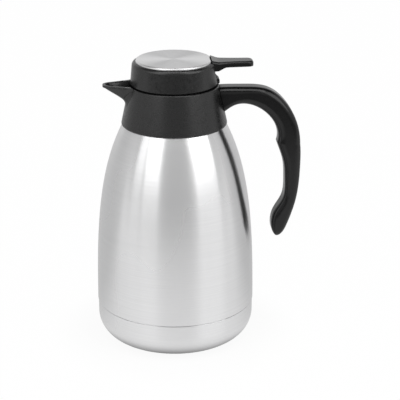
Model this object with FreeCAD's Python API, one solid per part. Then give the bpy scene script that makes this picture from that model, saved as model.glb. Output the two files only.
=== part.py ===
import FreeCAD, Part
import math
import os

os.makedirs("parts", exist_ok=True)

# Thermal jug with a screw-in lid and a thumb lever that lifts the pour valve.
# Millimetres. The jug stands on z = 0, its axis is Z, the handle lies along +X and the spout along -X.

# Steel vessel
body_radius = 70.3
base_height = 34.8
shell_height = 163.0
shell_wall = 0.7
liner_wall = 0.6
vacuum_gap = 5.0
neck_share = 0.4694
neck_length = 13.0
mouth_depth = 14.4
mouth_wall_gap = 1.7
liner_floor_height = 11.0
liner_corner_share = 0.97
seam_bevel = 0.45
seam_gap = 0.7
seam_depth = 0.7
# Height shares of the shell and the share of the body radius at each.
shell_curve_shares = ((0.0, 1.0), (0.2, 0.9935), (0.4, 0.972), (0.6, 0.922), (0.8, 0.824), (1.0, 0.643))

# Base cup
base_step = 0.5
base_wall = 1.2
base_corner_radius = 22.0
base_spigot_height = 5.0
base_edge_radius = 0.35
recess_share = 0.774
recess_depth = 3.0
recess_bend = 0.8
exhaust_hole_radius = 2.5
plug_radius = 6.0
plug_thickness = 1.2
getter_radius = 7.0
getter_thickness = 2.0
getter_offset = 18.0

# Collar and spout
collar_height = 35.2
collar_overhang = 1.2
collar_rim_wall = 2.9
collar_wall = 2.4
collar_foot_rounding = 1.2
collar_rim_rounding = 0.9
collar_web = 2.5
sleeve_wall = 2.2
sleeve_clear_height = 1.5
gasket_thickness = 1.5
spout_length = 22.6
spout_lip_rise = 0.8
spout_half_width = 13.4
spout_root_inset = 4.0
spout_flare = 3.0
spout_root_depth = 20.5
spout_tip_depth = 1.6
spout_wall = 2.0
spout_channel_step = 0.6
spout_keel_share = 0.5
spout_keel_rounding_share = 0.9
# Stations along the spout, with the shares of its root half width and of its flare at each.
spout_width_shares = ((0.0, 1.06, 1.6), (0.2, 0.96, 1.0), (0.3, 0.91, 0.5), (0.4, 0.86, 0.16),
                      (0.52, 0.78, 0.0), (0.705, 0.63, 0.0), (0.913, 0.43, 0.0), (0.97, 0.32, 0.0),
                      (1.0, 0.19, 0.0))

# Handle
handle_reach = 111.2
handle_root_step = 3.1
handle_drop = 140.0
handle_top_fall = 2.6
handle_width = 20.0
handle_outer_rounding = 6.0
handle_inner_rounding = 6.5
handle_rounding_share = 0.42
# Outline points as shares of the handle's length outwards and of its drop:
# the top down to the finger stop's height, the back, the arch over the fingers and the grip below the stop.
handle_top_shares = ((-0.062, 0.0), (0.347, 0.0), (0.607, 0.026), (0.798, 0.106), (0.939, 0.226),
                     (0.996, 0.381))
handle_back_shares = ((0.996, 0.381), (0.999, 0.567), (0.948, 0.762), (0.857, 0.906), (0.786, 0.972),
                      (0.732, 1.0))
handle_arch_shares = ((-0.062, 0.185), (0.043, 0.149), (0.207, 0.111), (0.321, 0.113), (0.506, 0.154),
                      (0.631, 0.217), (0.697, 0.285), (0.696, 0.367))
handle_grip_shares = ((0.696, 0.367), (0.739, 0.427), (0.794, 0.524), (0.802, 0.631), (0.787, 0.739),
                      (0.721, 0.786), (0.664, 0.844), (0.636, 0.917), (0.664, 0.972), (0.705, 1.0))
# Stations along each half, and the share of the width at each station of the lower half.
handle_upper_shares = (0.0, 0.15, 0.3, 0.45, 0.6, 0.75, 0.88, 1.0)
handle_lower_shares = (0.0, 0.15, 0.3, 0.45, 0.6, 0.72, 0.83, 0.91, 0.965, 1.0)
handle_end_shares = (1.0, 1.0, 1.0, 1.0, 1.0, 1.0, 0.99, 0.92, 0.72, 0.3)
screw_radius = 1.7
screw_head_radius = 2.9
screw_head_height = 2.2
screw_length = 13.0
screw_spacing = 11.0
screw_boss_radius = 3.4
screw_boss_height = 1.6
screw_boss_drop = 0.8

# Lid
lid_gap = 1.1
lid_height = 19.45
lid_step = 1.0
lid_taper = 1.8
lid_shoulder_rounding = 3.2
lid_foot_rounding = 0.6
lid_wall = 2.4
lid_plate = 2.2
disc_margin = 3.0
disc_rise = 1.7
disc_sheet = 0.8
disc_edge_rounding = 1.4
disc_corner_rounding = 1.5
disc_cut = 1.7
lever_slot_half_width = 12.4
lever_slot_depth = 14.25
lever_slot_rounding = 4.0
lug_half_width = 5.0
lug_radius = 3.6
lug_proud = 1.3
boss_radius = 3.6
boss_count = 4
lid_screw_radius = 1.3
lid_screw_head_radius = 2.4
lid_screw_head_height = 1.7
lid_screw_bite = 9.0

# Lever
lever_reach = 68.6
lever_gap = 0.7
lever_side_gap = 0.5
lever_tip_half_width = 7.2
lever_dip = 1.75
lever_dip_rounding = 14.0
lever_thickness = 6.45
lever_root_thickness = 9.25
lever_tip_rounding = 5.0
lever_top_rounding = 2.2
lever_edge_rounding = 1.0
lever_root_length = 6.0
# Stations along the paddle and how far each has narrowed from the root width to the tip width.
lever_taper_shares = ((0.0, 0.0), (0.14, 0.34), (0.32, 0.62), (0.6, 0.84), (1.0, 1.0))
pivot_setback = 9.4
pivot_fall = 7.85
pin_radius = 1.5
pivot_boss_radius = 3.6
arm_half_width = 7.4
ear_thickness = 3.5
ear_width = 9.0
pad_radius = 1.6
arm_head_room = 0.7

# Stopper and valve
flange_drop = 2.7
flange_thickness = 2.0
cover_thickness = 2.4
cup_wall = 2.6
cup_floor = 2.4
cup_depth = 28.4
cup_edge_rounding = 1.5
window_half_width = 15.0
window_sill = 0.8
window_head = 0.8
seat_radius = 9.0
seal_width = 4.5
seal_depth = 1.2
seal_height = 6.0
seal_body = 1.25
seal_lip_steps = 6
stem_radius = 3.0
stem_stud_radius = 2.0
guide_radius = 5.2
guide_length = 4.9
stem_seal_radius = 5.0
stem_seal_thickness = 1.4
valve_radius = 12.0
valve_thickness = 2.4
washer_radius = 11.6
washer_thickness = 1.6
washer_hole_radius = 4.0
head_radius = 7.0
head_thickness = 2.4
head_rounding = 0.6
spring_radius = 6.9
spring_wire_radius = 0.5
spring_turns = 6
coil_points_per_turn = 36

# Clearances and the overrun of every cut
seat_fit = 0.1
neck_fit = 0.2
running_fit = 0.08
seal_fit = 0.1
lid_clear = 0.5
cup_clear = 0.8
screw_clear = 0.4
flange_clear = 1.2
overrun = 5.0
# A low degree keeps lofted faces close to their guide lines.
loft_degree = 3
# An edge counts as upright when this share of its direction is along Z.
upright_share = 0.5

# Levels and radii worked out from the sizes above
foot_z = base_height + shell_height
rim_z = foot_z + collar_height
neck_top_z = rim_z - mouth_depth
neck_root_z = neck_top_z - neck_length
neck_radius = body_radius * neck_share
mouth_radius = neck_radius - shell_wall - mouth_wall_gap - liner_wall
web_under_z = neck_top_z + gasket_thickness
web_top_z = web_under_z + collar_web
sleeve_radius = neck_radius + neck_fit + sleeve_wall
shoulder_radius = body_radius * shell_curve_shares[-1][1]
base_radius = body_radius - base_step
recess_radius = (base_radius - base_corner_radius) * recess_share
liner_corner_radius = (base_height - liner_floor_height) * liner_corner_share
cup_radius = mouth_radius - cup_clear
boss_circle = cup_radius + lid_screw_head_radius + screw_clear
flange_radius = boss_circle + lid_screw_head_radius + screw_clear
collar_bore_radius = flange_radius + flange_clear
collar_rim_radius = collar_bore_radius + collar_rim_wall
collar_foot_radius = shoulder_radius + collar_overhang
spout_reach = collar_rim_radius + spout_length
handle_root_reach = collar_rim_radius + handle_root_step
lid_foot_radius = collar_rim_radius - lid_step
lid_shoulder_radius = lid_foot_radius - lid_taper
disc_radius = lid_shoulder_radius - disc_margin
disc_chord = disc_radius - disc_cut
pivot_reach = disc_chord - pivot_setback
lid_foot_z = rim_z + lid_gap
lid_top_z = lid_foot_z + lid_height
disc_top_z = lid_top_z + disc_rise
plate_top_z = disc_top_z - disc_sheet
plate_under_z = plate_top_z - lid_plate
flange_under_z = lid_foot_z - flange_drop
flange_top_z = flange_under_z + flange_thickness
cover_top_z = flange_top_z + cover_thickness
cup_floor_z = flange_under_z - cup_depth
cup_seat_z = cup_floor_z + cup_floor
valve_under_z = cup_seat_z + washer_thickness
valve_top_z = valve_under_z + valve_thickness
pivot_z = disc_top_z - pivot_fall - disc_sheet
pad_z = cover_top_z + pad_radius * 2
ear_start = lever_slot_half_width
head_under_z = pad_z + pad_radius + seat_fit
handle_top_z = rim_z - handle_top_fall
screw_z = web_under_z - screw_boss_radius - screw_boss_drop
axis_z = FreeCAD.Vector(0, 0, 1)
origin = FreeCAD.Vector(0, 0, 0)


def side(x, z, y=0.0):
    """A point in the side view: x outwards, z up."""
    return FreeCAD.Vector(x, y, z)


def front(y, z):
    """A point in the view along X."""
    return FreeCAD.Vector(0, y, z)


def plan(x, y):
    """A point in the view from above."""
    return FreeCAD.Vector(x, y, 0)


def line(first, second):
    return Part.LineSegment(first, second).toShape()


def spline(points, start=None, end=None):
    """A smooth edge through the points, with its end directions where they are given."""
    curve = Part.BSplineCurve()
    if start and end:
        curve.interpolate(Points=points, InitialTangent=start, FinalTangent=end)
    else:
        curve.interpolate(Points=points)
    return curve.toShape()


def face_of(edges):
    return Part.Face(Part.Wire(Part.__sortEdges__(edges)))


def rounded_face(corners, place=side):
    """A face whose outline runs through the corners, each a pair or a pair and its rounding."""
    spots = [place(corner[0], corner[1]) for corner in corners]
    roundings = [corner[2] if len(corner) > 2 else 0 for corner in corners]
    arrivals, leavings, edges = [], [], []
    for index, spot in enumerate(spots):
        back = (spots[index - 1] - spot).normalize()
        ahead = (spots[(index + 1) % len(spots)] - spot).normalize()
        half_angle = back.getAngle(ahead) / 2
        rounding = roundings[index]
        reach = rounding / math.tan(half_angle)
        arrivals.append(spot + back * reach)
        leavings.append(spot + ahead * reach)
        if rounding:
            middle = spot + (back + ahead).normalize() * (rounding / math.sin(half_angle) - rounding)
            edges.append(Part.Arc(arrivals[-1], middle, leavings[-1]).toShape())
    for index, leaving in enumerate(leavings):
        arrival = arrivals[(index + 1) % len(spots)]
        if leaving.distanceToPoint(arrival) > Part.Precision.confusion():
            edges.append(line(leaving, arrival))
    return face_of(edges)


def turned(corners):
    """A solid turned about the jug's axis from an outline of radius and height."""
    return rounded_face(corners).revolve(origin, axis_z, 360)


def drum(radius, low_z, high_z, x=0.0, y=0.0):
    return Part.makeCylinder(radius, high_z - low_z, side(x, low_z, y), axis_z)


def cross_pin(radius, half_length, x, z):
    """A round bar along Y, centred on the middle plane."""
    return Part.makeCylinder(radius, 2 * half_length, side(x, z, -half_length), FreeCAD.Vector(0, 1, 0))


def slab(face, half_width):
    """A side-view face made into a solid, as wide to each side of the middle plane."""
    solid = face.extrude(FreeCAD.Vector(0, 2 * half_width, 0))
    solid.translate(FreeCAD.Vector(0, -half_width, 0))
    return solid


def block(low, high):
    size = high - low
    return Part.makeBox(size.x, size.y, size.z, low)


def upright_edges(shape):
    return [edge for edge in shape.Edges if abs(edge.tangentAt(edge.FirstParameter).z) > upright_share]


def save(shape, node):
    solid = shape.removeSplitter()
    solid.exportStep("parts/" + node + ".step")
    print(node, "solids", len(solid.Solids), "volume", round(solid.Volume, 1), "valid", solid.isValid())
    return solid


def vessel_solid(inset, low_z, high_z, throat_radius, corner_radius=0):
    """The body's shape drawn in by an inset, closed by a flat floor and a flat top."""
    wall = [side(body_radius * share - inset, base_height + shell_height * height_share)
            for height_share, share in shell_curve_shares]
    floor_edge = side(wall[0].x, low_z)
    throat_foot = side(throat_radius, neck_root_z)
    throat_top = side(throat_radius, high_z)
    edges = [spline(wall), line(wall[-1], throat_foot), line(throat_foot, throat_top)]
    edges.append(line(throat_top, side(0, high_z)))
    edges.append(line(side(0, high_z), side(0, low_z)))
    if corner_radius:
        turn_out = side(wall[0].x - corner_radius, low_z)
        turn_up = side(wall[0].x, low_z + corner_radius)
        centre = side(turn_out.x, turn_up.z)
        middle = centre + (floor_edge - centre).normalize() * corner_radius
        edges.append(line(side(0, low_z), turn_out))
        edges.append(Part.Arc(turn_out, middle, turn_up).toShape())
        edges.append(line(turn_up, wall[0]))
    else:
        edges.append(line(side(0, low_z), floor_edge))
        if low_z < base_height:
            edges.append(line(floor_edge, wall[0]))
    return face_of(edges).revolve(origin, axis_z, 360)


def make_outer_shell():
    seat_z = neck_top_z - liner_wall
    outside = vessel_solid(0, base_height, seat_z, neck_radius)
    inside = vessel_solid(shell_wall, base_height - overrun, seat_z + overrun, neck_radius - shell_wall)
    bevel = turned([(body_radius - seam_bevel, base_height - seam_bevel),
                    (body_radius + seam_bevel, base_height - seam_bevel),
                    (body_radius + seam_bevel, base_height + seam_bevel * 2)])
    return outside.cut(inside).cut(bevel)


def make_inner_liner():
    inset = shell_wall + vacuum_gap
    throat = mouth_radius + liner_wall
    outside = vessel_solid(inset, liner_floor_height, neck_top_z, throat, liner_corner_radius)
    inside = vessel_solid(inset + liner_wall, liner_floor_height + liner_wall, neck_top_z + overrun,
                          mouth_radius, liner_corner_radius - liner_wall)
    rim = drum(neck_radius, neck_top_z - liner_wall, neck_top_z)
    return outside.fuse(rim).cut(inside)


def make_base_cup():
    spigot_radius = body_radius - shell_wall - seat_fit
    inner_radius = base_radius - base_wall
    panel_z = recess_depth + base_wall
    return turned([
        (exhaust_hole_radius, recess_depth),
        (recess_radius, recess_depth, recess_bend),
        (recess_radius, 0, recess_bend),
        (base_radius, 0, base_corner_radius),
        (base_radius, base_height - seam_gap, base_edge_radius),
        (base_radius - seam_depth, base_height - seam_gap),
        (base_radius - seam_depth, base_height),
        (spigot_radius, base_height),
        (spigot_radius, base_height + base_spigot_height),
        (inner_radius, base_height + base_spigot_height),
        (inner_radius, base_wall, base_corner_radius - base_wall),
        (recess_radius + base_wall, base_wall, recess_bend),
        (recess_radius + base_wall, panel_z, recess_bend),
        (exhaust_hole_radius, panel_z)])


def make_exhaust_plug():
    stub_radius = exhaust_hole_radius - seat_fit
    panel_z = recess_depth + base_wall
    low_z = recess_depth - plug_thickness
    return turned([(0, low_z), (plug_radius, low_z), (plug_radius, recess_depth),
                   (stub_radius, recess_depth), (stub_radius, panel_z), (0, panel_z)])


def make_getter():
    low_z = recess_depth + base_wall
    return drum(getter_radius, low_z, low_z + getter_thickness, getter_offset)


def collar_radius_at(z):
    return collar_foot_radius + (collar_rim_radius - collar_foot_radius) * (z - foot_z) / collar_height


def collar_cone(extra=0.0):
    """The collar's outside, without the spout, grown by a little where something fits against it."""
    return turned([(0, foot_z), (collar_foot_radius + extra, foot_z, collar_foot_rounding),
                   (collar_rim_radius + extra, rim_z, collar_rim_rounding), (0, rim_z)])


def spout_section(x, half_width, depth, top_z, head_room=0.0):
    """A cross-section of the spout: sloping flanks to a rounded keel, with upright sides above the lip."""
    keel = half_width * spout_keel_share
    rounding = keel * spout_keel_rounding_share

    def place(y, z):
        return side(x, z, y)

    corners = [(half_width, top_z), (keel, top_z - depth, rounding), (-keel, top_z - depth, rounding),
               (-half_width, top_z)]
    if head_room:
        corners += [(-half_width, top_z + head_room), (half_width, top_z + head_room)]
    return rounded_face(corners, place).OuterWire


def make_spout(inner):
    """The spout's outside, or the channel inside it."""
    lip_z = rim_z + spout_lip_rise
    root_reach = collar_bore_radius - spout_root_inset
    channel_depth = lip_z - web_top_z - spout_channel_step
    sections = []
    for along, share, flare_share in spout_width_shares:
        reach = root_reach + (spout_reach - root_reach) * along
        half_width = spout_half_width * share
        depth = spout_root_depth + (spout_tip_depth - spout_root_depth) * along
        if inner:
            reach = reach - spout_wall
            half_width = half_width - spout_wall * (1 - along / 2)
            depth = channel_depth + (spout_tip_depth / 2 - channel_depth) * along
            sections.append(spout_section(-reach, half_width, depth, lip_z, overrun))
        else:
            flare = spout_flare * flare_share
            sections.append(spout_section(-reach, half_width + flare / 2, depth + flare, lip_z))
    return Part.makeLoft(sections, True, False, False, loft_degree)


def handle_screw_spots():
    """Where the handle screws' heads seat inside the collar."""
    wall_reach = collar_radius_at(screw_z) - collar_wall - screw_boss_height
    return [side(wall_reach, screw_z, sign * screw_spacing / 2) for sign in (-1, 1)]


def outward_bar(radius, start, length):
    return Part.makeCylinder(radius, length, start, FreeCAD.Vector(1, 0, 0))


def make_collar():
    cone = collar_cone()
    foot_inner = shoulder_radius + neck_fit
    web_inner = collar_radius_at(web_under_z) - collar_wall
    cavity = turned([(sleeve_radius, foot_z - overrun), (foot_inner, foot_z - overrun), (foot_inner, foot_z),
                     (web_inner, web_under_z), (sleeve_radius, web_under_z)])
    neck_room = turned([(0, foot_z - overrun), (sleeve_radius, foot_z - overrun),
                        (sleeve_radius, neck_root_z + sleeve_clear_height),
                        (neck_radius + neck_fit, neck_root_z + sleeve_clear_height),
                        (neck_radius + neck_fit, web_under_z), (0, web_under_z)])
    collar = cone.fuse(make_spout(False)).cut(cavity)
    for spot in handle_screw_spots():
        boss = outward_bar(screw_boss_radius, spot, collar_wall + screw_boss_height)
        collar = collar.fuse(boss.common(cone))
    collar = collar.cut(neck_room)
    collar = collar.cut(drum(mouth_radius, web_under_z - overrun, web_top_z + overrun))
    collar = collar.cut(drum(collar_bore_radius, web_top_z, rim_z + overrun))
    collar = collar.cut(make_spout(True))
    collar = collar.cut(drum(collar_rim_radius + lid_clear, rim_z, rim_z + overrun))
    for spot in handle_screw_spots():
        collar = collar.cut(outward_bar(screw_radius + seat_fit, spot, screw_length))
    return collar


def make_neck_gasket():
    ring = drum(neck_radius - seat_fit, neck_top_z, web_under_z)
    return ring.cut(drum(mouth_radius + seat_fit, neck_top_z, web_under_z))


def handle_points(shares):
    length = handle_reach - handle_root_reach
    return [side(handle_root_reach + length * out, handle_top_z - handle_drop * down)
            for out, down in shares]


def handle_section(outer, inner, half_width):
    """A rounded section across the handle, from its outer line to its inner line."""
    depth_way = (inner - outer).normalize()
    depth = inner.distanceToPoint(outer)
    outer_rounding = min(handle_outer_rounding, depth * handle_rounding_share)
    inner_rounding = min(handle_inner_rounding, depth * handle_rounding_share)
    across = FreeCAD.Vector(0, 1, 0)

    def place(y, down):
        return outer + across * y + depth_way * down

    corners = [(-half_width, 0, outer_rounding), (half_width, 0, outer_rounding),
               (half_width, depth, inner_rounding), (-half_width, depth, inner_rounding)]
    return rounded_face(corners, place).OuterWire


def handle_loft(outer_edge, inner_edge, stations, width_shares):
    """A solid through sections at the same shares of the length of both lines."""
    sections = []
    for station, width_share in zip(stations, width_shares):
        outer = outer_edge.valueAt(outer_edge.getParameterByLength(outer_edge.Length * station))
        inner = inner_edge.valueAt(inner_edge.getParameterByLength(inner_edge.Length * station))
        sections.append(handle_section(outer, inner, handle_width / 2 * width_share))
    return Part.makeLoft(sections, True, False, False, loft_degree)


def make_handle():
    top = handle_points(handle_top_shares)
    back = handle_points(handle_back_shares)
    arch = handle_points(handle_arch_shares)
    grip = handle_points(handle_grip_shares)
    lean = back[1] - top[-2]
    outwards = FreeCAD.Vector(1, 0, 0)
    top_edge = spline(top, outwards, lean)
    back_edge = spline(back, lean, back[-1] - back[-2])
    upper = handle_loft(top_edge, spline(arch), handle_upper_shares, [1] * len(handle_upper_shares))
    lower = handle_loft(back_edge, spline(grip), handle_lower_shares, handle_end_shares)
    handle = upper.fuse(lower).cut(collar_cone(seat_fit))
    for spot in handle_screw_spots():
        handle = handle.cut(outward_bar(screw_radius + running_fit, spot, screw_length + seat_fit))
    return handle


def make_handle_screws():
    screws = []
    for spot in handle_screw_spots():
        start = spot - FreeCAD.Vector(screw_head_height, 0, 0)
        head = outward_bar(screw_head_radius, start, screw_head_height)
        screws.append(head.fuse(outward_bar(screw_radius, spot, screw_length)))
    return Part.makeCompound(screws)


def boss_spots():
    """The lid screws' places, evenly round the axis and clear of the lever and the spout."""
    step = 2 * math.pi / boss_count
    angles = [step / 2 + step * index for index in range(boss_count)]
    return [plan(boss_circle * math.cos(angle), boss_circle * math.sin(angle)) for angle in angles]


def lever_slot():
    """The room that the lever works in, through the lid's plate and rear wall."""
    floor_z = lid_top_z - lever_slot_depth
    roof_z = disc_top_z + overrun
    half = lever_slot_half_width
    profile = rounded_face([(half, roof_z), (half, floor_z, lever_slot_rounding),
                            (-half, floor_z, lever_slot_rounding), (-half, roof_z)], front)
    slot = profile.extrude(FreeCAD.Vector(lid_foot_radius, 0, 0))
    slot.translate(FreeCAD.Vector(disc_chord - disc_sheet - seat_fit, 0, 0))
    return slot


def make_lid_cap():
    plateau = disc_radius - disc_sheet - seat_fit
    outside = turned([(0, lid_foot_z), (lid_foot_radius, lid_foot_z, lid_foot_rounding),
                      (lid_shoulder_radius, lid_top_z, lid_shoulder_rounding), (plateau, lid_top_z),
                      (plateau, plate_top_z), (0, plate_top_z)])
    foot_inner = lid_foot_radius - lid_wall
    inside = turned([(0, lid_foot_z - overrun), (foot_inner, lid_foot_z - overrun), (foot_inner, lid_foot_z),
                     (lid_shoulder_radius - lid_wall, plate_under_z), (0, plate_under_z)])
    disc_flat = block(side(disc_chord - disc_sheet - seat_fit, lid_top_z, -lid_foot_radius),
                      side(lid_foot_radius, disc_top_z, lid_foot_radius))
    cap = outside.cut(inside).cut(disc_flat)
    for spot in boss_spots():
        boss = drum(boss_radius, cover_top_z, plate_top_z, spot.x, spot.y)
        cap = cap.fuse(boss.common(outside))
    cap = cap.fuse(make_lug().cut(inside)).cut(lever_slot())
    for sign in (-1, 1):
        cap = cap.fuse(make_ear(sign))
    for spot in boss_spots():
        pilot_radius = lid_screw_radius + seat_fit / 2
        cap = cap.cut(drum(pilot_radius, cover_top_z, cover_top_z + lid_screw_bite, spot.x, spot.y))
    return cap.cut(cross_pin(pin_radius + seat_fit / 2, ear_start + ear_thickness, pivot_reach, pivot_z))


def make_lug():
    """The rounded lug at the foot of the lid's rear wall, in line with the handle when the lid is closed."""
    reach = lid_foot_radius + lug_proud
    face = rounded_face([(reach - lug_radius * 2, lid_foot_z), (reach, lid_foot_z),
                         (reach, lid_foot_z + lug_radius, lug_radius / 2),
                         (reach - lug_radius * 2, lid_foot_z + lug_radius * 2)])
    return slab(face, lug_half_width)


def make_ear(sign):
    """One of the two ears under the lid's plate that hold the lever's pin."""
    low_z = pivot_z - ear_width / 2
    near_x = pivot_reach - ear_width / 2
    far_x = pivot_reach + ear_width / 2
    face = rounded_face([(near_x, plate_under_z), (near_x, low_z, ear_width / 3),
                         (far_x, low_z, ear_width / 3), (far_x, plate_under_z)])
    ear = face.extrude(FreeCAD.Vector(0, ear_thickness, 0))
    start = ear_start if sign > 0 else -ear_start - ear_thickness
    ear.translate(FreeCAD.Vector(0, start, 0))
    return ear


def disc_block(inset, low_z, high_z):
    """The disc's outline, drawn in by an inset: a circle cut straight on the lever's side."""
    radius = disc_radius - inset
    chord = disc_chord - inset
    half = math.sqrt(radius * radius - chord * chord)
    rim = Part.Arc(side(chord, low_z, half), side(-radius, low_z), side(chord, low_z, -half)).toShape()
    outline = [rim, line(side(chord, low_z, -half), side(chord, low_z, half))]
    return face_of(outline).extrude(FreeCAD.Vector(0, 0, high_z - low_z))


def make_lid_disc():
    outside = disc_block(0, lid_top_z, disc_top_z)
    outside = outside.makeFillet(disc_corner_rounding, upright_edges(outside))
    top_edges = [edge for edge in outside.Edges
                 if edge.BoundBox.ZMin > disc_top_z - disc_sheet / 2]
    outside = outside.makeFillet(disc_edge_rounding, top_edges)
    return outside.cut(disc_block(disc_sheet, lid_top_z - overrun, plate_top_z))


def make_lever():
    root_x = disc_chord + lever_gap
    top_z = disc_top_z
    root_half = lever_slot_half_width - lever_side_gap
    length = lever_reach - root_x
    tip_low_z = top_z - lever_thickness
    root_low_z = top_z - lever_root_thickness
    lip_x = root_x + lever_root_length
    paddle_z = top_z - lever_dip
    paddle_face = rounded_face([(root_x, top_z), (lip_x, paddle_z, lever_dip_rounding),
                                (lever_reach, paddle_z), (lever_reach, tip_low_z, lever_edge_rounding),
                                (lip_x + lever_root_length, tip_low_z, lever_root_length),
                                (lip_x, root_low_z, lever_edge_rounding), (root_x, root_low_z)])
    flank = [plan(root_x + length * along, root_half + (lever_tip_half_width - root_half) * narrowed)
             for along, narrowed in lever_taper_shares]
    other = [plan(point.x, -point.y) for point in flank]
    outline = [spline(flank), spline(other), line(flank[0], other[0]), line(flank[-1], other[-1])]
    plan_block = face_of(outline).extrude(FreeCAD.Vector(0, 0, top_z + overrun))
    tip_corners = [edge for edge in upright_edges(plan_block) if edge.BoundBox.XMin > lip_x]
    plan_block = plan_block.makeFillet(lever_tip_rounding, tip_corners)
    paddle = slab(paddle_face, root_half).common(plan_block)
    paddle = paddle.makeFillet(lever_top_rounding, lever_top_edges(paddle, root_x))
    lever = paddle.fuse(slab(lever_arm_face(root_x), arm_half_width))
    lever = lever.fuse(cross_pin(pivot_boss_radius, ear_start - lever_side_gap, pivot_reach, pivot_z))
    notch = slab(rounded_face([(-overrun, pad_z - overrun), (head_radius, pad_z - overrun),
                               (head_radius, pad_z + overrun), (-overrun, pad_z + overrun)]),
                 stem_radius + arm_head_room)
    return lever.cut(notch).cut(cross_pin(pin_radius + running_fit, lid_foot_radius, pivot_reach, pivot_z))


def lever_top_edges(paddle, root_x):
    """The edges round the top of the paddle, but for the one along the lid's disc."""
    top_faces = [face for face in paddle.Faces
                 if face.normalAt(*face.Surface.parameter(face.CenterOfMass)).z > upright_share]
    counts = {}
    for face in top_faces:
        for edge in face.Edges:
            counts.setdefault(edge.hashCode(), []).append(edge)
    rim = [group[0] for group in counts.values() if len(group) == 1]
    return [edge for edge in rim if edge.BoundBox.XMax > root_x + lever_gap]


def lever_arm_face(root_x):
    """The arm inside the lid: level under the stem's head, then up to the pivot and out to the paddle."""
    pad_top = pad_z + pad_radius
    pad_low = pad_z - pad_radius
    arm_top = plate_under_z - arm_head_room
    knee_x = head_radius + arm_head_room * 2
    end_x = root_x + lever_root_length / 2
    arm_low = disc_top_z - lever_root_thickness
    round_end = pad_radius - running_fit
    return rounded_face([(-pad_radius, pad_top, round_end), (knee_x, pad_top, pad_radius),
                         (pivot_reach - pivot_boss_radius, arm_top, pad_radius * 2), (end_x, arm_top),
                         (end_x, arm_low),
                         (pivot_reach - pivot_boss_radius, pivot_z - pivot_boss_radius, pad_radius * 2),
                         (knee_x + pad_radius, pad_low, pad_radius * 2), (-pad_radius, pad_low, round_end)])


def make_lever_pin():
    return cross_pin(pin_radius, ear_start + ear_thickness, pivot_reach, pivot_z)


def make_stopper_cover():
    hole = stem_radius + running_fit
    pocket = stem_seal_radius + seat_fit
    pocket_z = cover_top_z - stem_seal_thickness
    guide_z = flange_top_z - guide_length
    cover = turned([(hole, guide_z), (guide_radius, guide_z), (guide_radius, flange_top_z),
                    (flange_radius, flange_top_z), (flange_radius, cover_top_z), (pocket, cover_top_z),
                    (pocket, pocket_z), (hole, pocket_z)])
    return with_screw_holes(cover)


def with_screw_holes(shape):
    radius = lid_screw_radius + seat_fit
    for spot in boss_spots():
        shape = shape.cut(drum(radius, flange_under_z - overrun, cover_top_z + overrun, spot.x, spot.y))
    return shape


def make_stem_seal():
    low_z = cover_top_z - stem_seal_thickness
    seal = drum(stem_seal_radius, low_z, cover_top_z)
    return seal.cut(drum(stem_radius + running_fit, low_z, cover_top_z))


def make_stopper_cup():
    groove_z = cup_floor_z + seal_height
    groove_radius = cup_radius - seal_depth
    inner_radius = cup_radius - cup_wall
    cup = turned([(seat_radius, cup_floor_z), (cup_radius, cup_floor_z, cup_edge_rounding),
                  (cup_radius, groove_z), (groove_radius, groove_z), (groove_radius, groove_z + seal_width),
                  (cup_radius, groove_z + seal_width), (cup_radius, flange_under_z),
                  (flange_radius, flange_under_z), (flange_radius, flange_top_z),
                  (inner_radius, flange_top_z), (inner_radius, cup_seat_z, cup_edge_rounding),
                  (seat_radius, cup_seat_z)])
    window = block(FreeCAD.Vector(-cup_radius - overrun, -window_half_width, web_top_z + window_sill),
                   FreeCAD.Vector(-seat_radius, window_half_width, flange_under_z - window_head))
    return with_screw_holes(cup.cut(window))


def make_stopper_seal():
    low_z = cup_floor_z + seal_height + seal_fit
    high_z = cup_floor_z + seal_height + seal_width - seal_fit
    inner = cup_radius - seal_depth + seal_fit / 2
    body = inner + seal_body
    lip = mouth_radius - seal_fit
    lip_step = (high_z - low_z) / seal_lip_steps
    return turned([(inner, low_z), (body, low_z), (lip, low_z + lip_step), (body, low_z + 2 * lip_step),
                   (body, high_z - 2 * lip_step), (lip, high_z - lip_step), (body, high_z), (inner, high_z)])


def make_lid_screws():
    screws = []
    for spot in boss_spots():
        low_z = flange_under_z - lid_screw_head_height
        end_z = cover_top_z + lid_screw_bite - seat_fit
        head = drum(lid_screw_head_radius, low_z, flange_under_z, spot.x, spot.y)
        screws.append(head.fuse(drum(lid_screw_radius, flange_under_z, end_z, spot.x, spot.y)))
    return Part.makeCompound(screws)


def make_valve_stem():
    stub_radius = washer_hole_radius - seat_fit
    head_top_z = head_under_z + head_thickness
    return turned([(0, cup_seat_z), (stub_radius, cup_seat_z), (stub_radius, valve_under_z),
                   (valve_radius, valve_under_z), (valve_radius, valve_top_z), (stem_radius, valve_top_z),
                   (stem_radius, head_under_z), (stem_stud_radius, head_under_z),
                   (stem_stud_radius, head_top_z), (0, head_top_z)])


def make_valve_washer():
    washer = drum(washer_radius, cup_seat_z, valve_under_z)
    return washer.cut(drum(washer_hole_radius, cup_seat_z, valve_under_z))


def make_stem_head():
    inner = stem_stud_radius + seat_fit / 2
    top_z = head_under_z + head_thickness
    return turned([(inner, head_under_z), (head_radius, head_under_z), (head_radius, top_z, head_rounding),
                   (inner, top_z)])


def coil_point(low_z, pitch, turn):
    angle = 2 * math.pi * turn
    return side(spring_radius * math.cos(angle), low_z + pitch * turn, spring_radius * math.sin(angle))


def coil_direction(pitch, turn):
    angle = 2 * math.pi * turn
    around = 2 * math.pi * spring_radius
    return side(-around * math.sin(angle), pitch, around * math.cos(angle)).normalize()


def tangent_arc(start, direction, end):
    """The arc that leaves the start in a direction and passes through the end."""
    chord = end - start
    half_turn = direction.getAngle(chord)
    outward = (direction * chord.Length - chord * math.cos(half_turn)).normalize()
    middle = (start + end) / 2 + outward * (chord.Length / 2 * math.tan(half_turn / 2))
    return Part.Arc(start, middle, end).toShape()


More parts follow.
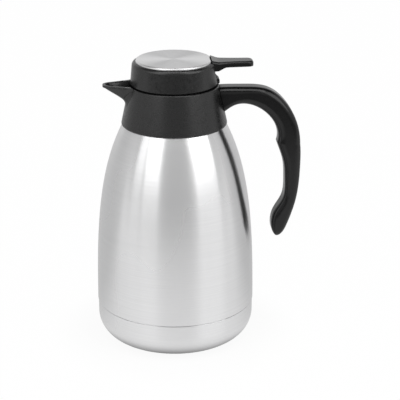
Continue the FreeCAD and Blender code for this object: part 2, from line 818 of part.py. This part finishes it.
def biarc(start, start_way, end, end_way):
    """Two arcs that meet smoothly and leave both ends in their own directions."""
    chord = end - start
    both = start_way + end_way
    square = both.dot(both) - 4
    slope = chord.dot(both)
    reach = (slope - math.sqrt(slope * slope - square * chord.dot(chord))) / square
    meeting = (start + end + (start_way - end_way) * reach) / 2
    second = tangent_arc(end, end_way * -1, meeting)
    return [tangent_arc(start, start_way, meeting), second]


def coil_gap(path):
    """The least clear distance between turns of the wire, measured on points of its middle line."""
    count = spring_turns * coil_points_per_turn
    points = path.discretize(Number=count + 1)
    apart = coil_points_per_turn // 2
    least = min(points[near].distanceToPoint(points[far])
                for near in range(count + 1) for far in range(near + apart, count + 1))
    return least - 2 * spring_wire_radius


def make_valve_spring():
    low_z = valve_top_z + spring_wire_radius + seat_fit
    high_z = flange_top_z - spring_wire_radius - seat_fit
    pitch = (high_z - low_z) / spring_turns
    edges = []
    for index in range(spring_turns * 2):
        first = index / 2
        last = (index + 1) / 2
        edges += biarc(coil_point(low_z, pitch, first), coil_direction(pitch, first),
                       coil_point(low_z, pitch, last), coil_direction(pitch, last))
    path = Part.Wire(Part.__sortEdges__(edges))
    ring = Part.Circle(coil_point(low_z, pitch, 0), coil_direction(pitch, 0), spring_wire_radius)
    print("valve_spring least gap to itself", round(coil_gap(path), 2))
    return path.makePipeShell([Part.Wire(ring.toShape())], True, False)


if __name__ == "__main__":
    save(make_outer_shell(), "outer_shell")
    save(make_inner_liner(), "inner_liner")
    save(make_base_cup(), "base_cup")
    save(make_exhaust_plug(), "exhaust_plug")
    save(make_getter(), "getter")
    save(make_collar(), "collar")
    save(make_neck_gasket(), "neck_gasket")
    save(make_handle(), "handle")
    save(make_handle_screws(), "handle_screws")
    save(make_lid_cap(), "lid_cap")
    save(make_lid_disc(), "lid_disc")
    save(make_lever(), "lever")
    save(make_lever_pin(), "lever_pin")
    save(make_stopper_cover(), "stopper_cover")
    save(make_stopper_cup(), "stopper_cup")
    save(make_stopper_seal(), "stopper_seal")
    save(make_stem_seal(), "stem_seal")
    save(make_lid_screws(), "lid_screws")
    save(make_valve_stem(), "valve_stem")
    save(make_valve_washer(), "valve_washer")
    save(make_stem_head(), "stem_head")
    save(make_valve_spring(), "valve_spring")
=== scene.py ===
import math
import bmesh
import bpy
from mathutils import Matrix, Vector
from mathutils.bvhtree import BVHTree


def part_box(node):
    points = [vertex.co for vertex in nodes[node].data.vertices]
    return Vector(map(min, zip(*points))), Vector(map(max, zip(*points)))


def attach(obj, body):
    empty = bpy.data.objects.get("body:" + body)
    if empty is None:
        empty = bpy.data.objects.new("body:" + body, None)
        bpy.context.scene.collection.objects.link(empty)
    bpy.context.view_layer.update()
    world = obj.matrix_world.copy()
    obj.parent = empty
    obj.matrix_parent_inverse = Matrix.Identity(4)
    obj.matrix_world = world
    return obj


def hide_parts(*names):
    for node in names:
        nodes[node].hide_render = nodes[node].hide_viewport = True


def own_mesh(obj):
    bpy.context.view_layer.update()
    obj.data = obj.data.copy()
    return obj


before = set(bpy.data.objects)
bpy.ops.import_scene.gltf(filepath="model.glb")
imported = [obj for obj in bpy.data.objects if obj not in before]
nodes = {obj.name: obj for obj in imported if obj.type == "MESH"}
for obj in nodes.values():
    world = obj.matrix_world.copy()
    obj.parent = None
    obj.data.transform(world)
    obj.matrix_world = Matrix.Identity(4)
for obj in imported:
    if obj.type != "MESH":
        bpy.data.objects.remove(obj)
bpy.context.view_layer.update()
print("frame loaded with", len(nodes), "nodes")


# small helpers for node trees
def freshMaterial(name):
    material = bpy.data.materials.new(name)
    material.use_nodes = True
    return material, material.node_tree, material.node_tree.nodes["Principled BSDF"]


def place(tree, kind, **settings):
    made = tree.nodes.new(kind)
    for key, value in settings.items():
        setattr(made, key, value)
    return made


def objectSpace(tree, scale):
    # object coordinates in metres, stretched by a scale for each axis
    source = place(tree, "ShaderNodeTexCoord")
    stretch = place(tree, "ShaderNodeMapping")
    stretch.inputs["Scale"].default_value = scale
    tree.links.new(source.outputs["Object"], stretch.inputs["Vector"])
    return stretch.outputs["Vector"]


def noise(tree, vector, detail=2.0, roughness=0.5, scale=1.0):
    made = place(tree, "ShaderNodeTexNoise")
    made.inputs["Scale"].default_value = scale
    made.inputs["Detail"].default_value = detail
    made.inputs["Roughness"].default_value = roughness
    tree.links.new(vector, made.inputs["Vector"])
    return made.outputs["Fac"]


noiseSpan = (0.3, 0.7)  # where most of a noise's values lie


def spread(tree, value, low, high):
    # a noise value from its usual middle range to low..high
    made = place(tree, "ShaderNodeMapRange")
    made.inputs["From Min"].default_value = noiseSpan[0]
    made.inputs["From Max"].default_value = noiseSpan[1]
    made.inputs["To Min"].default_value = low
    made.inputs["To Max"].default_value = high
    tree.links.new(value, made.inputs["Value"])
    return made.outputs["Result"]


def tint(tree, value, dark, light):
    made = place(tree, "ShaderNodeValToRGB")
    made.color_ramp.elements[0].position = noiseSpan[0]
    made.color_ramp.elements[0].color = (*dark, 1)
    made.color_ramp.elements[1].position = noiseSpan[1]
    made.color_ramp.elements[1].color = (*light, 1)
    tree.links.new(value, made.inputs["Fac"])
    return made.outputs["Color"]


def between(tree, value, span, result):
    # a value over a span, turned smoothly into another span
    made = place(tree, "ShaderNodeMapRange", interpolation_type="SMOOTHSTEP")
    made.inputs["From Min"].default_value = span[0]
    made.inputs["From Max"].default_value = span[1]
    made.inputs["To Min"].default_value = result[0]
    made.inputs["To Max"].default_value = result[1]
    tree.links.new(value, made.inputs["Value"])
    return made.outputs["Result"]


def product(tree, first, *others):
    for other in others:
        made = place(tree, "ShaderNodeMath", operation="MULTIPLY")
        tree.links.new(first, made.inputs[0])
        tree.links.new(other, made.inputs[1])
        first = made.outputs["Value"]
    return first


def mixed(tree, share, first, second):
    made = place(tree, "ShaderNodeMixShader")
    tree.links.new(share, made.inputs["Fac"])
    tree.links.new(first, made.inputs[1])
    tree.links.new(second, made.inputs[2])
    return made.outputs["Shader"]


def giveRelief(tree, shader, height, distance, strength):
    made = place(tree, "ShaderNodeBump")
    made.inputs["Distance"].default_value = distance
    made.inputs["Strength"].default_value = strength
    tree.links.new(height, made.inputs["Height"])
    tree.links.new(made.outputs["Normal"], shader.inputs["Normal"])
    return made


# sheet steel is brushed round the jug's axis and its shine is blurred across the streaks; plated steel isn't
brushLook = {"detail": 3.0, "blurTurn": 0.25, "clouds": (9, 9, 5)}


def finishSteel(tree, shader, look, streak, cloud):
    shader.inputs["Metallic"].default_value = 1.0
    shader.inputs["Anisotropic"].default_value = look["anisotropic"]
    shader.inputs["Anisotropic Rotation"].default_value = brushLook["blurTurn"]
    tree.links.new(tint(tree, streak, look["dark"], look["light"]), shader.inputs["Base Color"])
    tree.links.new(spread(tree, cloud, *look["rough"]), shader.inputs["Roughness"])
    around = place(tree, "ShaderNodeTangent", direction_type="RADIAL", axis="Z")
    tree.links.new(around.outputs["Tangent"], shader.inputs["Tangent"])
    giveRelief(tree, shader, streak, look["bumpDepth"], look["bumpStrength"])


# body and inner bottle: the noise is squeezed along Z into streaks
bodySteel = {"dark": (0.75, 0.75, 0.755), "light": (0.81, 0.81, 0.815), "streaks": (14, 14, 2600),
             "rough": (0.25, 0.31), "anisotropic": 0.97, "bumpDepth": 0.00002, "bumpStrength": 0.1}
linerSteel = {"dark": (0.58, 0.58, 0.59), "light": (0.66, 0.66, 0.67), "streaks": (30, 30, 1800),
              "rough": (0.26, 0.36), "anisotropic": 0.4, "bumpDepth": 0.00003, "bumpStrength": 0.1}


def brushedSteel(name, look):
    material, tree, shader = freshMaterial(name)
    streak = noise(tree, objectSpace(tree, look["streaks"]), detail=brushLook["detail"], roughness=0.6)
    cloud = noise(tree, objectSpace(tree, brushLook["clouds"]))
    finishSteel(tree, shader, look, streak, cloud)
    return material


# the lid's disc is spun, so its streaks are rings about the axis
discSteel = {"dark": (0.74, 0.74, 0.745), "light": (0.82, 0.82, 0.825), "ringsPerMetre": 2600,
             "rough": (0.36, 0.42), "anisotropic": 0.75, "bumpDepth": 0.00003, "bumpStrength": 0.2}


def spunSteel(name, look):
    material, tree, shader = freshMaterial(name)
    source = place(tree, "ShaderNodeTexCoord")
    parts = place(tree, "ShaderNodeSeparateXYZ")
    tree.links.new(source.outputs["Object"], parts.inputs["Vector"])
    flat = place(tree, "ShaderNodeCombineXYZ")
    tree.links.new(parts.outputs["X"], flat.inputs["X"])
    tree.links.new(parts.outputs["Y"], flat.inputs["Y"])
    reach = place(tree, "ShaderNodeVectorMath", operation="LENGTH")
    tree.links.new(flat.outputs["Vector"], reach.inputs[0])
    ringLine = place(tree, "ShaderNodeTexNoise", noise_dimensions="1D")
    ringLine.inputs["Scale"].default_value = look["ringsPerMetre"]
    ringLine.inputs["Detail"].default_value = brushLook["detail"]
    tree.links.new(reach.outputs["Value"], ringLine.inputs["W"])
    ring = ringLine.outputs["Fac"]
    finishSteel(tree, shader, look, ring, ring)
    return material


# black moulded plastic with a fine spark-eroded grain
mattBlack = {"dark": (0.003, 0.003, 0.0031), "light": (0.01, 0.01, 0.0102), "grain": 900, "edge": 0.0006,
             "rough": (0.22, 0.36), "bumpDepth": 0.00008, "bumpStrength": 0.4, "ior": 1.5, "shine": 0.55}
gripBlack = {"dark": (0.002, 0.002, 0.0021), "light": (0.005, 0.005, 0.0051), "grain": 2600, "edge": 0.0008,
             "rough": (0.13, 0.19), "bumpDepth": 0.00004, "bumpStrength": 0.12, "ior": 1.5, "shine": 0.36}
innerBlack = {"dark": (0.03, 0.03, 0.031), "light": (0.045, 0.045, 0.046), "grain": 1200, "edge": 0.0003,
              "rough": (0.3, 0.38), "bumpDepth": 0.00003, "bumpStrength": 0.2, "ior": 1.5, "shine": 0.5}
greyRubber = {"dark": (0.42, 0.42, 0.41), "light": (0.52, 0.52, 0.51), "grain": 900, "edge": 0.0003,
              "rough": (0.5, 0.62), "bumpDepth": 0.00004, "bumpStrength": 0.3, "ior": 1.41, "shine": 0.5}
# painted shade: the shine fades in hollows and crevices, as if no light reached them; moulded edges are
# never knife sharp
paintedCreviceShade = {"reach": 0.016, "span": (0.4, 0.85), "shineLeft": 0.06, "samples": 6}
mouldLook = {"cloudsPerMetre": 280, "edgeSamples": 4}


def mouldedGrain(name, look):
    material, tree, shader = freshMaterial(name)
    grain = noise(tree, objectSpace(tree, (look["grain"],) * 3), roughness=0.6)
    cloud = noise(tree, objectSpace(tree, (mouldLook["cloudsPerMetre"],) * 3), detail=3.0)
    shader.inputs["IOR"].default_value = look["ior"]
    # painted shade: ambient occlusion turns the shine down in hollows and crevices
    hollow = place(tree, "ShaderNodeAmbientOcclusion", samples=paintedCreviceShade["samples"])
    hollow.inputs["Distance"].default_value = paintedCreviceShade["reach"]
    shine = between(tree, hollow.outputs["AO"], paintedCreviceShade["span"],
                    (look["shine"] * paintedCreviceShade["shineLeft"], look["shine"]))
    tree.links.new(shine, shader.inputs["Specular IOR Level"])
    tree.links.new(tint(tree, grain, look["dark"], look["light"]), shader.inputs["Base Color"])
    tree.links.new(spread(tree, cloud, *look["rough"]), shader.inputs["Roughness"])
    rounded = place(tree, "ShaderNodeBevel", samples=mouldLook["edgeSamples"])
    rounded.inputs["Radius"].default_value = look["edge"]
    relief = giveRelief(tree, shader, grain, look["bumpDepth"], look["bumpStrength"])
    tree.links.new(rounded.outputs["Normal"], relief.inputs["Normal"])
    return material


# plated screws, pin and spring wire
platedSteel = {"dark": (0.5, 0.5, 0.51), "light": (0.6, 0.6, 0.62), "streaks": (900, 900, 900),
               "rough": (0.22, 0.34), "anisotropic": 0.0, "bumpDepth": 0.00002, "bumpStrength": 0.2}

finishes = {
    "bodySteel": (brushedSteel("bodySteel", bodySteel), ("outer_shell", "base_cup")),
    "linerSteel": (brushedSteel("linerSteel", linerSteel), ("inner_liner", "getter", "exhaust_plug")),
    "discSteel": (spunSteel("discSteel", discSteel), ("lid_disc",)),
    "mattBlack": (mouldedGrain("mattBlack", mattBlack), ("collar", "lid_cap")),
    "gripBlack": (mouldedGrain("gripBlack", gripBlack), ("handle", "lever")),
    "innerBlack": (mouldedGrain("innerBlack", innerBlack),
                   ("stopper_cup", "stopper_cover", "valve_stem", "stem_head")),
    "greyRubber": (mouldedGrain("greyRubber", greyRubber),
                   ("neck_gasket", "stopper_seal", "stem_seal", "valve_washer")),
    "platedSteel": (brushedSteel("platedSteel", platedSteel),
                    ("handle_screws", "lever_pin", "lid_screws", "valve_spring")),
}
for material, members in finishes.values():
    for member in members:
        nodes[member].data.materials.clear()
        nodes[member].data.materials.append(material)
print("finishes on", sum(len(members) for material, members in finishes.values()), "nodes")


# small details: sections swept into closed pieces
sharpAngle = math.radians(40)


def sweptPiece(name, runs, body, material):
    points, faces = [], []
    for run in runs:
        first, size = len(points), len(run[0])
        for section in run:
            points.extend(section)
        last = len(points) - size
        for start in range(first, last, size):
            for corner in range(size):
                beside = (corner + 1) % size
                faces.append((start + corner, start + beside, start + size + beside, start + size + corner))
        faces.append(tuple(range(first, first + size)))
        faces.append(tuple(range(last, last + size)))
    mesh = bpy.data.meshes.new(name)
    mesh.from_pydata(points, [], faces)
    shape = bmesh.new()
    shape.from_mesh(mesh)
    bmesh.ops.recalc_face_normals(shape, faces=shape.faces)
    shape.to_mesh(mesh)
    shape.free()
    mesh.polygons.foreach_set("use_smooth", [True] * len(mesh.polygons))
    mesh.set_sharp_from_angle(angle=sharpAngle)
    piece = bpy.data.objects.new(name, mesh)
    bpy.context.scene.collection.objects.link(piece)
    mesh.materials.append(material)
    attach(piece, body)
    return piece


def ringTurns(corners):
    return [2 * math.pi * corner / corners for corner in range(corners)]


# quarter-turn thread: long ridges on the stopper run under short lugs in the mouth, along the lid's rise
threadLook = {"starts": 3, "lugTurn": 30, "risePerDegree": 0.004 / 90, "steps": 56,
              "flank": 0.00035, "fade": 0.12, "tipShare": 0.1}
stopperRidge = {"from": -101, "to": 11, "root": 0.0289, "crest": 0.02975, "low": 0.21875, "high": 0.22035}
mouthLug = {"from": -11, "to": 11, "root": 0.0303, "crest": 0.0294, "low": 0.2205, "high": 0.2218}


def threadRun(ridge, lugTurn):
    run = []
    for step in range(threadLook["steps"] + 1):
        share = step / threadLook["steps"]
        turn = ridge["from"] + (ridge["to"] - ridge["from"]) * share
        rise = turn * threadLook["risePerDegree"]
        full = min(1.0, threadLook["tipShare"] + min(share, 1 - share) / threadLook["fade"])
        crest = ridge["root"] + (ridge["crest"] - ridge["root"]) * full
        flank = threadLook["flank"]
        profile = ((ridge["root"], ridge["low"]), (crest, ridge["low"] + flank),
                   (crest, ridge["high"] - flank), (ridge["root"], ridge["high"]))
        angle = math.radians(lugTurn + turn)
        run.append([(reach * math.cos(angle), reach * math.sin(angle), height + rise)
                    for reach, height in profile])
    return run


starts = threadLook["starts"]
lugTurns = [threadLook["lugTurn"] + 360 * start / starts for start in range(starts)]
sweptPiece("stopperThread", [threadRun(stopperRidge, turn) for turn in lugTurns], "lid",
           finishes["innerBlack"][0])
sweptPiece("mouthLugs", [threadRun(mouthLug, turn) for turn in lugTurns], "jug",
           finishes["mattBlack"][0])

# the spout grows out of the collar in one soft curve, so its root gets a hollow blend
spoutBlend = {"lipHeight": 0.2338, "reach": (0.005, 0.026), "samples": 90, "turns": 40, "widest": 74,
              "arm": 0.0042, "endShare": 0.25, "endCurve": 4, "arcSteps": 8, "sink": 0.0006, "rayFrom": -0.1}


def outlineAt(tree, turn):
    # points where rays along the spout meet the collar, further and further out from the spout's middle
    out = Vector((0, math.sin(turn), -math.cos(turn)))
    inner, outer = spoutBlend["reach"]
    hits = []
    for step in range(spoutBlend["samples"]):
        reach = inner + (outer - inner) * step / (spoutBlend["samples"] - 1)
        start = Vector((spoutBlend["rayFrom"], 0, spoutBlend["lipHeight"])) + out * reach
        hits.append(tree.ray_cast(start, Vector((1, 0, 0)))[0])
    return hits


def walk(points, arm):
    # the point at that distance along a row of points
    left = arm
    for here, there in zip(points, points[1:]):
        length = (there - here).length
        if length >= left:
            return here.lerp(there, left / length)
        left -= length
    return points[-1]


def blendSection(tree, turn, arm):
    hits = outlineAt(tree, turn)
    chord = (hits[-1] - hits[0]).normalized()
    depth = [((hit - hits[0]) - chord * (hit - hits[0]).dot(chord)).length for hit in hits]
    corner = depth.index(max(depth))
    upper = walk(hits[corner::-1], arm)
    lower = walk(hits[corner:], arm)
    middle = hits[corner]
    section = []
    for step in range(spoutBlend["arcSteps"] + 1):
        share = step / spoutBlend["arcSteps"]
        section.append(upper.lerp(middle, share).lerp(middle.lerp(lower, share), share))
    inward = (middle - upper.lerp(lower, 0.5)).normalized()
    return section + [middle + inward * spoutBlend["sink"]]


collarMesh = nodes["collar"].data
collarTree = BVHTree.FromPolygons([point.co for point in collarMesh.vertices],
                                  [face.vertices for face in collarMesh.polygons])
blendRun = []
for step in range(spoutBlend["turns"] + 1):
    side = 2 * step / spoutBlend["turns"] - 1
    arm = spoutBlend["arm"] * (1 - (1 - spoutBlend["endShare"]) * side ** spoutBlend["endCurve"])
    blendRun.append(blendSection(collarTree, math.radians(spoutBlend["widest"] * side), arm))
sweptPiece("spoutBlend", [blendRun], "jug", finishes["mattBlack"][0])

# the spout's lip is a thick rim with a flat top and soft corners
lipLook = {"middle": (-0.045, 0.0, 0.26), "widest": 125, "turns": 100, "scan": 0.0002, "scans": 150,
           "topHits": 10, "lowest": 0.2305, "lidReach": 0.0415, "half": (0.0014, 0.001), "inset": 0.001,
           "rise": 0.0002, "square": 3.5, "corners": 24, "fade": 8, "endShare": 0.3}


def lipPoint(tree, turn):
    # the last place outwards where a ray from above still meets the lip
    out = Vector((-math.cos(turn), math.sin(turn), 0))
    start = Vector(lipLook["middle"])
    drop = start.z - lipLook["lowest"]
    hits = []
    for scan in range(lipLook["scans"]):
        hit = tree.ray_cast(start + out * lipLook["scan"] * scan, Vector((0, 0, -1)), drop)[0]
        if hit:
            hits.append(hit)
        elif hits:
            break
    edge = hits[-1]
    top = max(hit.z for hit in hits[-lipLook["topHits"]:])
    return Vector((edge.x, edge.y, top + lipLook["rise"] - lipLook["half"][1])) - out * lipLook["inset"]


def softCorner(value):
    return math.copysign(abs(value) ** (2 / lipLook["square"]), value)


def lipRun(points):
    run = []
    last = len(points) - 1
    for index, point in enumerate(points):
        along = (points[min(index + 1, last)] - points[max(index - 1, 0)]).normalized()
        across = along.cross(Vector((0, 0, 1))).normalized()
        upward = across.cross(along)
        share = min(1.0, lipLook["endShare"] + min(index, last - index) / lipLook["fade"])
        wide = across * lipLook["half"][0] * share
        tall = upward * lipLook["half"][1] * share
        run.append([point + wide * softCorner(math.cos(turn)) + tall * softCorner(math.sin(turn))
                    for turn in ringTurns(lipLook["corners"])])
    return run


lipTurns = [math.radians(lipLook["widest"]) * (2 * step / lipLook["turns"] - 1)
            for step in range(lipLook["turns"] + 1)]
lipRow = [point for point in (lipPoint(collarTree, turn) for turn in lipTurns)
          if math.hypot(point.x, point.y) > lipLook["lidReach"]]
sweptPiece("spoutLip", [lipRun(lipRow)], "jug", finishes["mattBlack"][0])
print("thread, lugs, spout blend and lip made")

# the valve's coil hangs under the stopper's cover, swept at one fixed length; the real coil shortens as the
# lever lifts the valve
coilLook = {"radius": 0.0069, "wire": 0.0005, "turns": 6, "stepsPerTurn": 48, "corners": 10, "lift": 0.00474}


def makeCoil():
    low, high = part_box("valve_spring")
    span = high.z - low.z - 2 * coilLook["wire"]
    steps = coilLook["turns"] * coilLook["stepsPerTurn"]
    run = []
    for step in range(steps + 1):
        angle = 2 * math.pi * step / coilLook["stepsPerTurn"]
        outward = Vector((math.cos(angle), math.sin(angle), 0))
        along = Vector((-math.sin(angle), math.cos(angle), 0)) * coilLook["radius"]
        along.z = span / (2 * math.pi * coilLook["turns"])
        across = along.normalized().cross(outward)
        middle = outward * coilLook["radius"]
        middle.z = low.z + coilLook["wire"] + span * step / steps
        run.append([middle + (outward * math.cos(turn) + across * math.sin(turn)) * coilLook["wire"]
                    for turn in ringTurns(coilLook["corners"])])
    coil = sweptPiece("valveCoil", [run], "lid", finishes["platedSteel"][0])
    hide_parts("valve_spring")
    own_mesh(coil)


makeCoil()
print("valve coil made")


# white floor that runs out of sight; near the foot the jug's own shadow stays in it, with painted shade
# making it a little greyer there too; in reflections it carries painted shade in front and behind and a
# painted shadow round the foot
floorLook = {"size": 12.0, "colour": (0.82, 0.82, 0.82), "rough": 0.9, "nearShare": 0.93, "farShare": 0.99,
             "shadowReach": (0.072, 0.12), "mirror": 0.95, "mirrorFront": 0.3, "frontReach": (-0.72, -0.36),
             "mirrorBack": 0.66, "backReach": (-0.08, 0.1),
             "mirrorFoot": 0.15, "footReach": (0.054, 0.078)}


def makeFloor():
    bpy.ops.mesh.primitive_plane_add(size=floorLook["size"])
    floor = bpy.context.object
    floor.name = "studioFloor"
    material, tree, shader = freshMaterial("floorWhite")
    shader.inputs["Base Color"].default_value = (*floorLook["colour"], 1)
    shader.inputs["Roughness"].default_value = floorLook["rough"]
    shader.inputs["Specular IOR Level"].default_value = 0.0
    source = place(tree, "ShaderNodeTexCoord")
    reach = place(tree, "ShaderNodeVectorMath", operation="LENGTH")
    tree.links.new(source.outputs["Object"], reach.inputs[0])
    # painted shade: near the foot less of the floor is plain white, so it greys there besides showing the
    # real shadow
    share = between(tree, reach.outputs["Value"], floorLook["shadowReach"],
                    (floorLook["nearShare"], floorLook["farShare"]))
    parts = place(tree, "ShaderNodeSeparateXYZ")
    tree.links.new(source.outputs["Object"], parts.inputs["Vector"])
    # painted shade and painted shadow for reflections: the floor is darker in front and behind, and darkest
    # round the foot in place of the jug's shadow
    paintedFrontShade = between(tree, parts.outputs["Y"], floorLook["frontReach"],
                        (floorLook["mirrorFront"], floorLook["mirror"]))
    paintedFootShadow = between(tree, reach.outputs["Value"], floorLook["footReach"], (floorLook["mirrorFoot"], 1.0))
    paintedBackShade = between(tree, parts.outputs["Y"], floorLook["backReach"], (1.0, floorLook["mirrorBack"]))
    mirror = product(tree, paintedFrontShade, paintedBackShade, paintedFootShadow)
    path = place(tree, "ShaderNodeLightPath")
    whiteness = product(tree, path.outputs["Is Camera Ray"], share)
    glow = place(tree, "ShaderNodeEmission")
    seen = mixed(tree, whiteness, shader.outputs["BSDF"], glow.outputs["Emission"])
    mirrored = place(tree, "ShaderNodeEmission")
    tree.links.new(mirror, mirrored.inputs["Strength"])
    whole = mixed(tree, path.outputs["Is Glossy Ray"], seen, mirrored.outputs["Emission"])
    tree.links.new(whole, tree.nodes["Material Output"].inputs["Surface"])
    floor.data.materials.append(material)


makeFloor()

# the room in reflections: grey at the camera, pale at the sides, white behind, dark above
# steps are spans along Y with the levels at their ends, multiplied; the camera itself sees plain white
roomLook = {"steps": (((-1.0, -0.55), (0.56, 0.75)), ((0.1, 0.5), (1.0, 0.82)), ((0.65, 0.92), (1.0, 1.35))),
            "roof": 0.08, "roofStart": (0.53, 0.72), "ambient": 0.29}


def makeRoom():
    world = bpy.data.worlds.new("studioRoom")
    bpy.context.scene.world = world
    world.use_nodes = True
    tree = world.node_tree
    tree.nodes.clear()
    source = place(tree, "ShaderNodeTexCoord")
    parts = place(tree, "ShaderNodeSeparateXYZ")
    tree.links.new(source.outputs["Generated"], parts.inputs["Vector"])
    turned = [between(tree, parts.outputs["Y"], span, result) for span, result in roomLook["steps"]]
    roof = between(tree, parts.outputs["Z"], roomLook["roofStart"], (1.0, roomLook["roof"]))
    level = product(tree, roof, *turned)
    path = place(tree, "ShaderNodeLightPath")
    reflected = place(tree, "ShaderNodeBackground")
    tree.links.new(level, reflected.inputs["Strength"])
    ambient = place(tree, "ShaderNodeBackground")
    ambient.inputs["Strength"].default_value = roomLook["ambient"]
    white = place(tree, "ShaderNodeBackground")
    inner = mixed(tree, path.outputs["Is Glossy Ray"], ambient.outputs["Background"],
                  reflected.outputs["Background"])
    outer = mixed(tree, path.outputs["Is Camera Ray"], inner, white.outputs["Background"])
    for sky in (reflected, ambient, white):
        sky.inputs["Color"].default_value = (1, 1, 1, 1)
    out = place(tree, "ShaderNodeOutputWorld")
    tree.links.new(outer, out.inputs["Surface"])


makeRoom()

# soft boxes: turn is degrees from the camera's side, to the right; brightness 1 is white
softBoxes = {
    "leftStrip": {"turn": -43, "away": 1.25, "height": 0.97, "wide": 0.7, "tall": 1.18, "brightness": 1.4},
    "leftFill": {"turn": -68, "away": 1.25, "height": 0.97, "wide": 0.42, "tall": 1.18, "brightness": 1.05},
    "rightStrip": {"turn": 52, "away": 1.25, "height": 0.97, "wide": 1.1, "tall": 1.18, "brightness": 1.75},
    "overhead": {"turn": 0, "away": 0.32, "height": 1.2, "wide": 1.2, "tall": 0.62, "brightness": 2.7},
}
aimHeight = 0.14


def makeSoftBox(name, box):
    light = bpy.data.lights.new(name, "AREA")
    light.shape = "RECTANGLE"
    light.size = box["wide"]
    light.size_y = box["tall"]
    light.energy = box["brightness"] * math.pi * box["wide"] * box["tall"]
    lamp = bpy.data.objects.new(name, light)
    bpy.context.scene.collection.objects.link(lamp)
    turn = math.radians(box["turn"])
    lamp.location = (box["away"] * math.sin(turn), -box["away"] * math.cos(turn), box["height"])
    aim = Vector((0, 0, aimHeight)) - lamp.location
    lamp.rotation_euler = aim.to_track_quat("-Z", "Y").to_euler()


for boxName, box in softBoxes.items():
    makeSoftBox(boxName, box)
print("studio set with", len(softBoxes), "soft boxes")

# camera worked out from the photograph's perspective
cameraLook = {"spot": (-0.0756, -1.1689, 0.5620), "way": (0.0784, 0.9338, -0.3490),
              "lens": 126.2, "sensor": 36.0, "clip": (0.05, 50)}


def makeCamera():
    data = bpy.data.cameras.new("photoCamera")
    data.lens = cameraLook["lens"]
    data.sensor_width = cameraLook["sensor"]
    data.clip_start = cameraLook["clip"][0]
    data.clip_end = cameraLook["clip"][1]
    camera = bpy.data.objects.new("photoCamera", data)
    bpy.context.scene.collection.objects.link(camera)
    camera.location = cameraLook["spot"]
    camera.rotation_euler = Vector(cameraLook["way"]).to_track_quat("-Z", "Y").to_euler()
    bpy.context.scene.camera = camera


makeCamera()
bpy.context.scene.view_settings.view_transform = "Standard"
